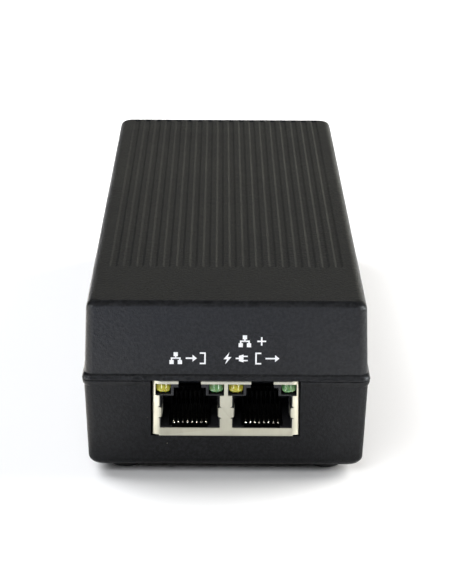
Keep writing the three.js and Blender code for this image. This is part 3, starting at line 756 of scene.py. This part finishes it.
def build_shield():
    """The stamped shell round both ports, open below, with its fingers folded in."""
    thickness, top_bend, corner = 0.3, 0.4, 0.35
    latch_half, corner_step = 2.43, 1.45
    half = JACK_WIDTH / 2
    # The front bows back towards its sides before it folds: (depth, inset of the side).
    side_bend = [(0.14 * (1.95 - pull) ** 2, pull) for pull in (1.95, 1.75, 1.5, 1.25, 1.0, 0.75, 0.5, 0.3)]
    side_bend += [(0.48, 0.16), (0.62, 0.04), (0.8, 0)]
    rings = []
    for depth, pull in side_bend + [(JACK_DEPTH, 0)]:
        top = JACK_Z + JACK_HEIGHT - fillet_inset(top_bend, depth)
        side = half - pull
        outline = [(-side, JACK_Z), (side, JACK_Z)]
        outline += arc((side - corner, top - corner), corner, 0, 90, 5)
        outline += arc((corner - side, top - corner), corner, 90, 180, 5)
        rings.append([(a, JACK_FACE + depth, b) for a, b in outline])
    shell = make("shield", *ring_skin(rings), TIN)
    low, high = JACK_Z - 1, JACK_Z + JACK_HEIGHT - thickness
    inner = []
    for depth, pull in side_bend + [(JACK_DEPTH - 2 * thickness, 0)]:
        y, side = JACK_FACE + depth + thickness, half - thickness - pull
        inner.append([(-side, y, low), (side, y, low), (side, y, high), (-side, y, high)])
    cutters = [make("inside", *ring_skin(inner), TIN)]
    for x in PORTS.values():
        cutters.append(prism("window", port_window(x), "y", JACK_FACE - 1, JACK_FACE + 0.9, TIN))
        notch = (x - latch_half, x + latch_half)
        cutters.append(jack_slab("notch", notch, (-1, 2.5), (LED_HIGH - 0.5, JACK_HEIGHT + 1), TIN))
    for side in (-1, 1):
        edge = sorted((side * (half - corner_step), side * (half + 1)))
        cutters.append(jack_slab("corner", edge, (-1, 1.0), (-1, 0.24), TIN))
    combine(shell, cutters)
    fingers = [spring_finger(x, side) for x in PORTS.values() for side in (-1, 1)]
    shield = join_pieces("jack_shield_piece", [shell] + fingers)
    finish_edges(shield, 0.05, 2, 50)
    place(shield, "case", "shield_tin", "jack_shield")


def spring_finger(x, side):
    """A strip folded in from the edge of a port: it bows towards the plug and runs back along the wall."""
    sheet, low, high = 0.14, 4.45, 6.45
    line = [(6.2, 0.02), (6.1, 0.2), (6.02, 0.9), (5.97, 2.0), (5.96, 3.0), (6.0, 4.2), (6.06, 5.2)]
    inside = [(x + side * a, JACK_FACE + depth) for a, depth in line]
    outside = [(x + side * (a + sheet), JACK_FACE + depth) for a, depth in reversed(line)]
    return prism("finger", inside + outside, "z", JACK_Z + low, JACK_Z + high, TIN)


# Rooms in the housing at each port: (name, half width, range of depth, range of height).
PORT_ROOMS = (
    ("mouth", 6.3, (0, 5.6), (2.02, 9.3)),
    ("cavity", 5.95, (5.5, 13.6), (2.02, 9.3)),
    ("middle", 3.9, (-0.1, 2.6), (0.9, 2.1)),
    ("under", 4.6, (1.2, 13.6), (0.4, 2.1)),
    ("latch_low", 3.5, (0, 12), (9.2, 11.15)),
    ("latch_high", 2.5, (0, 12), (11.0, 12.6)),
)
LED_POCKET_INNER, LED_POCKET_OUTER = 4.05, 7.45  # a lamp's pocket, from the middle of its port


def build_housing():
    low, high = box_mm("jack_housing")
    front = JACK_FACE + 0.34  # just inside the shield
    body = slab("housing", (low.x, front, low.z), (high.x, high.y, high.z), JACK_PLASTIC)
    cutters = []
    for x in PORTS.values():
        for name, half, depth, height in PORT_ROOMS:
            cutters.append(jack_slab(name, (x - half, x + half), depth, height, JACK_PLASTIC))
        for side in (-1, 1):
            edge = sorted((x + side * LED_POCKET_INNER, x + side * LED_POCKET_OUTER))
            cutters.append(jack_slab("pocket", edge, (0, 8.2), (9.56, 14), JACK_PLASTIC))
    combine(body, cutters)
    finish_edges(body, 0.07, 2, 50)
    place(body, "case", "jack_black", "jack_housing")


def contact_x(port_x, index):
    """A contact wire's place across its port."""
    return port_x + (index - (CONTACTS - 1) / 2) * CONTACT_PITCH


def build_insert(port, x):
    """The carrier of a port's wires: a block under them, with guides, and a comb that parts their ends."""
    number = port[-1]
    half, slot_half, guide_half = 4.3, 0.36, 0.33
    block = jack_slab("insert", (x - half, x + half), (1.55, 13.1), (0.7, 1.38), INSERT_PLASTIC)
    comb = jack_slab("comb", (x - half, x + half), (9.4, 13.1), (0.8, 6.7), INSERT_PLASTIC)
    combine(block, [comb], "UNION")
    slots = []
    for i in range(CONTACTS):
        middle = contact_x(x, i)
        slot = (middle - slot_half, middle + slot_half)
        guide = (middle - guide_half, middle + guide_half)
        slots.append(jack_slab("slot", slot, (8.4, 12.2), (3.6, 8), INSERT_PLASTIC))
        slots.append(jack_slab("guide", guide, (1.0, 8), (1.18, 3), INSERT_PLASTIC))
    combine(block, [join_pieces("slots", slots)])
    block.name = "contact_insert_piece_" + number
    finish_edges(block, 0.05, 2, 50)
    place(block, "case", "jack_black", "contact_insert_" + number)


def build_contact(port, x, index):
    """A sprung wire: its root on the carrier, the fold at the port's mouth and the arm up to the comb."""
    node = f"{port}_contact_{index + 1}"
    middle = contact_x(x, index)
    slope_degrees, arm_length, bend = 22, 8.7, 0.42
    slope = math.radians(slope_degrees)
    thickness, half_width, rounding = 0.3, 0.17, 0.12
    fold_y, fold_z = JACK_FACE + FOLD_DEPTH, JACK_Z + FOLD_HEIGHT
    neutral = bend - thickness / 2
    path = [(fold_y + root, fold_z - neutral) for root in (1.3, 0.6)]
    path += arc((fold_y, fold_z), neutral, 270, 90 + slope_degrees, 12)
    start_y, start_z = path[-1]
    for i in range(1, 9):
        along = arm_length * i / 8
        path.append((start_y + along * math.cos(slope), start_z + along * math.sin(slope)))
    section = rounded_outline(half_width, thickness / 2, rounding, 4)
    rings = []
    for i, (y, z) in enumerate(path):
        before, after = path[max(0, i - 1)], path[min(len(path) - 1, i + 1)]
        tangent = Vector((after[0] - before[0], after[1] - before[1])).normalized()
        normal = Vector((-tangent.y, tangent.x))
        rings.append([(middle + a, y + normal.x * b, z + normal.y * b) for a, b in section])
    wire = make(node + "_wire", *ring_skin(rings), GOLD)
    finish_edges(wire)
    place(wire, port + "_contacts", "contact_gold", node)


def lens_depth(u, v):
    """How far a lens stands back from its foremost line, at u from its middle and v above its foot."""
    ridge, foremost = 1.8, 0.6
    sideways = math.hypot(u, ridge) - ridge
    rise = v - foremost
    if rise < 0:
        return sideways + 1.4 * rise**2
    return sideways + 0.28 * rise + 0.045 * rise**2


def build_lens(node, material, slot):
    """A lamp's lens: ridged down its middle, leaning back towards its top, with rounded lower corners."""
    low, high = box_mm(node)
    overhang, corner, core, chamfer = 0.22, 1.2, 0.6, 0.05
    middle, foot = (low.x + high.x) / 2, low.z - overhang
    half, height = (high.x - low.x) / 2, high.z - foot
    across = [(half - chamfer) * (1 - i / 6) for i in range(13)]
    down = [height - chamfer - (height - chamfer - corner) * i / 4 for i in range(4)]
    outline = [(a, height) for a in across] + [(-half, b) for b in down]
    outline += arc((-half + corner, corner), corner, 180, 270, 8)
    outline += arc((half - corner, corner), corner, 270, 360, 8)
    outline += [(half, b) for b in reversed(down)]
    rings = []
    # The front is a nest of outlines that grow from a core above the foot.
    for scale in (0.02, 0.15, 0.3, 0.45, 0.6, 0.72, 0.84, 0.93, 1.0):
        spots = [(a * scale, core + (b - core) * scale) for a, b in outline]
        rings.append([(middle + u, low.y + lens_depth(u, v), foot + v) for u, v in spots])
    rings.append([(middle + a, high.y, foot + b) for a, b in outline])
    lens = make(node + "_lens", *ring_skin(rings), material, 50)
    place(lens, "case", slot, node)


build_shield()
build_housing()
for port_name, port_x in PORTS.items():
    build_insert(port_name, port_x)
    for contact_index in range(CONTACTS):
        build_contact(port_name, port_x, contact_index)
    build_lens("link_led_" + port_name[-1], YELLOW, "led_yellow")
    build_lens("activity_led_" + port_name[-1], GREEN, "led_green")


# ---- printed pictograms
STROKE = 0.34  # width of the lines
THIN = STROKE / 2


def bar(u0, v0, u1, v1):
    """A rectangle from its corners."""
    return [(u0, v0), (u1, v0), (u1, v1), (u0, v1)]


def network_sign(u, v):
    """Three boxes on a branching line."""
    size, box = 2.7, 0.92
    middle, branch = u + size / 2, v + size / 2
    left, right = u + box / 2, u + size - box / 2
    return [
        bar(middle - box / 2, v + size - box, middle + box / 2, v + size),
        bar(middle - THIN, branch - THIN, middle + THIN, v + size - box),
        bar(left - THIN, branch - THIN, right + THIN, branch + THIN),
        bar(left - THIN, v + box, left + THIN, branch - THIN),
        bar(right - THIN, v + box, right + THIN, branch - THIN),
        bar(u, v, u + box, v + box),
        bar(u + size - box, v, u + size, v + box),
    ]


def arrow_sign(u, v, length=2.4):
    """An arrow to the right."""
    neck, spread = u + length - 0.95, 0.8
    return [
        bar(u, v - THIN, neck, v + THIN),
        [(neck, v - spread), (u + length, v), (neck, v + spread)],
    ]


def bracket_sign(u, v, side=1):
    """A square bracket: its back is on the right for side 1 and on the left for side -1."""
    width, height = 1.3, 2.7
    reach = width - STROKE
    back, arm = (u + reach, u) if side > 0 else (u, u + STROKE)
    return [
        bar(back, v, back + STROKE, v + height),
        bar(arm, v, arm + reach, v + STROKE),
        bar(arm, v + height - STROKE, arm + reach, v + height),
    ]


def plus_sign(u, v):
    size = 1.9
    half = size / 2
    return [
        bar(u, v - THIN, u + size, v + THIN),
        bar(u + half - THIN, v + THIN, u + half + THIN, v + half),
        bar(u + half - THIN, v - half, u + half + THIN, v - THIN),
    ]


def bolt_sign(u, v):
    """A lightning flash."""
    flash = ((1.25, 2.7), (0, 1.15), (0.75, 1.15), (0.35, 0), (1.7, 1.65), (0.95, 1.65))
    return [[(u + a, v + b) for a, b in flash]]


def plug_sign(u, v):
    """A mains plug seen from the side, with two blades."""
    return [
        bar(u, v + 1.18, u + 0.7, v + 1.52),
        [(u + 0.7, v + 0.75), (u + 1.7, v + 0.45), (u + 1.7, v + 2.25), (u + 0.7, v + 1.95)],
        bar(u + 1.7, v + 0.72, u + 2.6, v + 1.02),
        bar(u + 1.7, v + 1.68, u + 2.6, v + 1.98),
    ]


def build_marks():
    """Pictograms printed above the ports: data in on the left, data and power out on the right."""
    low_row, high_row, mid = 26.5, 30.4, 1.35  # the rows' feet, and their middles above them
    shapes = network_sign(-12.2, low_row) + arrow_sign(-8.7, low_row + mid) + bracket_sign(-5.7, low_row)
    shapes += network_sign(2.6, high_row) + plus_sign(6.6, high_row + mid)
    shapes += bolt_sign(-0.6, low_row) + plug_sign(2.0, low_row)
    shapes += bracket_sign(6.2, low_row, side=-1) + arrow_sign(8.4, low_row + mid, 3.0)
    sunk, proud = 0.05, 0.022
    marks = []
    for outline in shapes:
        rings = []
        for lift in (-sunk, proud):
            rings.append([(u, cover_inset(v) - HALF_Y - lift, v) for u, v in outline])
        marks.append(make("mark", *ring_skin(rings), INK))
    marks = join_pieces("port_pictograms", marks)
    place(marks, "case", "marking_white")


build_marks()


# ---- mains inlet
INLET_PINS = ("inlet_pin_neutral", "inlet_pin_earth", "inlet_pin_line")
MOUTH_HALF_X, MOUTH_HALF_Z, MOUTH_BEVEL, MOUTH_DEPTH = 12.1, 8.3, 4.6, 16.0
FLANGE_BACK, FLANGE_FRONT = 5, 3  # depths of its faces, from the inlet's face
PIN_HEIGHT, PIN_CHAMFER, PIN_TIP, PIN_TAIL = 4.0, 0.8, 1, 2


def build_inlet():
    """The inlet: a block with a flange inside the wall and a mouth whose upper corners are cut off."""
    low, high = box_mm("inlet_housing")
    middle = (low.z + high.z) / 2
    near = (low.x + INLET_FLANGE, low.y, low.z + INLET_FLANGE)
    far = (high.x - INLET_FLANGE, high.y, high.z - INLET_FLANGE)
    body = slab("inlet", near, far, INLET_PLASTIC)
    back, front = high.y - FLANGE_BACK, high.y - FLANGE_FRONT
    flange = slab("flange", (low.x, back, low.z), (high.x, front, high.z), INLET_PLASTIC)
    combine(body, [flange], "UNION")
    half = [
        (MOUTH_HALF_X, middle - MOUTH_HALF_Z),
        (MOUTH_HALF_X, middle + MOUTH_HALF_Z - MOUTH_BEVEL),
        (MOUTH_HALF_X - MOUTH_BEVEL, middle + MOUTH_HALF_Z),
    ]
    outline = half + [(-a, b) for a, b in reversed(half)]
    cutters = [prism("mouth", outline, "y", high.y - MOUTH_DEPTH, high.y + 1, INLET_PLASTIC)]
    for node in INLET_PINS:
        pin_low, pin_high = box_mm(node)
        near = (pin_low.x - INLET_GAP, low.y - 1, pin_high.z - PIN_HEIGHT - INLET_GAP)
        far = (pin_high.x + INLET_GAP, back, pin_high.z + INLET_GAP)
        cutters.append(slab("slit", near, far, INLET_PLASTIC))
    combine(body, cutters)
    body.name = "inlet_housing_piece"
    finish_edges(body, 0.35, 3, 40)
    place(body, "case", "inlet_black", "inlet_housing")


def build_inlet_pin(node):
    """A flat pin: its chamfered tip stands in the mouth and its tail turns down to the board."""
    low, high = box_mm(node)
    foot = high.z - PIN_HEIGHT
    outline = [
        (low.y, low.z),
        (low.y + PIN_TAIL, low.z),
        (low.y + PIN_TAIL, foot),
        (high.y - PIN_TIP, foot),
        (high.y, foot + PIN_CHAMFER),
        (high.y, high.z - PIN_CHAMFER),
        (high.y - PIN_TIP, high.z),
        (low.y, high.z),
    ]
    pin = prism(node + "_piece", outline, "x", low.x, high.x, NICKEL)
    finish_edges(pin, 0.25, 3, 30)
    place(pin, "case", "blade_nickel", node)


build_inlet()
for pin_node in INLET_PINS:
    build_inlet_pin(pin_node)


# ---- carried-over nodes
# These pieces keep their CAD shapes.
CARRIED = (
    (BOARD, "main_board"),
    (FILM, "insulation_sheet"),
    (BLUE, "varistor", "y_capacitor"),
    (YELLOW_BOX, "x_capacitor"),
    (ENAMEL, "common_mode_choke"),
    (SLEEVE, "bulk_capacitor", "output_capacitor_1", "output_capacitor_2"),
    (ALUMINIUM, "primary_heatsink", "output_heatsink"),
    (FERRITE, "transformer_core"),
    (TAPE, "transformer_winding"),
    (EPOXY, "fuse", "bridge_rectifier", "power_transistor", "output_rectifier", "optocoupler"),
    (EPOXY, "lan_magnetics_1", "lan_magnetics_2", "power_controller"),
)
for node_material, *node_names in CARRIED:
    for node_name in node_names:
        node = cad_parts[node_name]
        node.data.materials.clear()
        node.data.materials.append(node_material)


# ---- stage, light and camera
def build_stage():
    """A pale matt floor."""
    n = Nodes("stage_white")
    n.set(Specular_IOR_Level=0.0)
    n.colour(n.blend(n.span(n.noise(3), 0.3, 0.7), (0.93, 0.93, 0.93), (0.95, 0.95, 0.95)))
    n.rough(n.span(n.noise(5), 0.3, 0.7, 0.9, 0.95))
    size = 3.0
    mesh = bpy.data.meshes.new("floor")
    corners = [(-size, -size, 0), (size, -size, 0), (size, size, 0), (-size, size, 0)]
    mesh.from_pydata(corners, [], [(0, 1, 2, 3)])
    mesh.materials.append(n.material)
    floor = bpy.data.objects.new("floor", mesh)
    bpy.context.scene.collection.objects.link(floor)


WHITE = (1.0, 1.0, 1.0)
COOL = (0.97, 0.98, 1.0)
SIDE_COOL = (0.9, 0.96, 1.0)
MIDDLE = (0, 0, 0.02)  # places that the lights face
TOP = (0, 0, 0.04)
FRONT_END = (0, -0.08, 0.03)


def area_light(name, place_m, target_m, size, power, colour, glossy=True, diffuse=True):
    """A rectangular panel of light, which reflections or diffuse surfaces can be told not to see."""
    data = bpy.data.lights.new(name, "AREA")
    data.shape = "RECTANGLE"
    data.size, data.size_y = size
    data.energy = power
    data.color = colour
    light = bpy.data.objects.new(name, data)
    light.location = place_m
    light.rotation_euler = (Vector(target_m) - Vector(place_m)).to_track_quat("-Z", "Y").to_euler()
    light.visible_camera = False
    light.visible_glossy = glossy
    light.visible_diffuse = diffuse
    bpy.context.scene.collection.objects.link(light)


def softbox(name, place_m, target_m, size, power, colour):
    """A panel that lights diffuse surfaces only."""
    area_light(name, place_m, target_m, (size, size), power, colour, glossy=False)


def reflector(name, place_m, target_m, size, power, colour):
    """A panel that shows in reflections only."""
    area_light(name, place_m, target_m, size, power, colour, diffuse=False)


def floor_panel(name, x, y, size, power, colour):
    """A reflector that lies on the floor and faces up."""
    reflector(name, (x, y, 0.001), (x, y, 1), size, power, colour)


def build_lights():
    world = bpy.data.worlds.new("studio")
    world.use_nodes = True
    background = world.node_tree.nodes["Background"]
    background.inputs["Color"].default_value = (1.0, 0.98, 0.94, 1)
    background.inputs["Strength"].default_value = 0.04
    bpy.context.scene.world = world
    softbox("key", (0.97, 0.35, 0.62), MIDDLE, 0.9, 24, (1.0, 0.985, 0.96))
    softbox("fill", (-0.75, 0.4, 0.95), MIDDLE, 0.9, 17, COOL)
    softbox("wash", (-0.35, -1.1, 1.1), (0, -0.1, 0), 1.0, 13, COOL)
    # Dim panels that the case mirrors.
    reflector("backdrop", (0.1, 1.1, 0.37), TOP, (1.2, 0.4), 0.51, (1.0, 0.98, 0.8))
    reflector("right_horizon", (0.6, 1.1, 0.12), TOP, (0.8, 0.22), 0.5, (1.0, 0.99, 0.84))
    reflector("overhead", (0, -0.2, 1.2), (0, -0.2, 0), (2.0, 2.0), 0.4, (1.0, 1.0, 0.97))
    reflector("front_room", (-0.7, -1.4, 0.35), (0, 0, 0.03), (2.0, 0.6), 0.36, (0.8, 0.9, 1.0))
    floor_panel("floor_ahead", -0.155, -0.38, (0.38, 0.4), 1.1, (0.3, 0.5, 1.0))
    floor_panel("front_left", -0.05, -0.11, (0.05, 0.045), 0.018, WHITE)
    floor_panel("front_right", 0.05, -0.11, (0.05, 0.045), 0.022, WHITE)
    floor_panel("floor_left", -0.19, -0.05, (0.3, 0.3), 0.5, (1.0, 0.93, 0.84))
    # Small, bright lamps that glint on the shield's sides, the lenses and the contact wires.
    reflector("right_lamp", (0.85, -0.3, 0.27), FRONT_END, (0.1, 0.3), 16, SIDE_COOL)
    reflector("left_lamp", (-0.85, -0.3, 0.27), FRONT_END, (0.1, 0.3), 4.6, SIDE_COOL)
    for name, (x, y, z), size, power in (
        ("spark", (0.46, -0.88, 0.28), (0.05, 0.22), 0.85),
        ("glint", (0.61, -0.63, 0.41), (0.15, 0.25), 1.5),
    ):
        reflector("right_" + name, (x, y, z), FRONT_END, size, power, WHITE)
        reflector("left_" + name, (-x, y, z), FRONT_END, size, power, WHITE)
    reflector("front_spark", (0, -0.8, 0.85), FRONT_END, (0.07, 0.07), 0.6, WHITE)


CAMERA_PLACE = (-0.00168, -0.45801, 0.17913)  # metres
CAMERA_DIP, CAMERA_TURN, CAMERA_ROLL = (math.radians(a) for a in (19.703, 0.229, 0.380))
CAMERA_LENS, CAMERA_SENSOR = 117.58, 36  # millimetres: the sensor is the picture's long side


def build_camera():
    data = bpy.data.cameras.new("camera")
    data.lens = CAMERA_LENS
    data.sensor_width = CAMERA_SENSOR
    data.clip_start, data.clip_end = 0.01, 20
    camera = bpy.data.objects.new("camera", data)
    level = math.cos(CAMERA_DIP)
    look = Vector((math.sin(CAMERA_TURN) * level, math.cos(CAMERA_TURN) * level, -math.sin(CAMERA_DIP)))
    right = Vector((math.cos(CAMERA_TURN), -math.sin(CAMERA_TURN), 0))
    up = right.cross(look)
    rolled_right = math.cos(CAMERA_ROLL) * right + math.sin(CAMERA_ROLL) * up
    rolled_up = math.cos(CAMERA_ROLL) * up - math.sin(CAMERA_ROLL) * right
    axes = Matrix((rolled_right, rolled_up, -look)).transposed()
    camera.matrix_world = Matrix.Translation(CAMERA_PLACE) @ axes.to_4x4()
    bpy.context.scene.collection.objects.link(camera)
    bpy.context.scene.camera = camera


build_stage()
build_lights()
build_camera()
bpy.context.scene.view_settings.view_transform = "Standard"
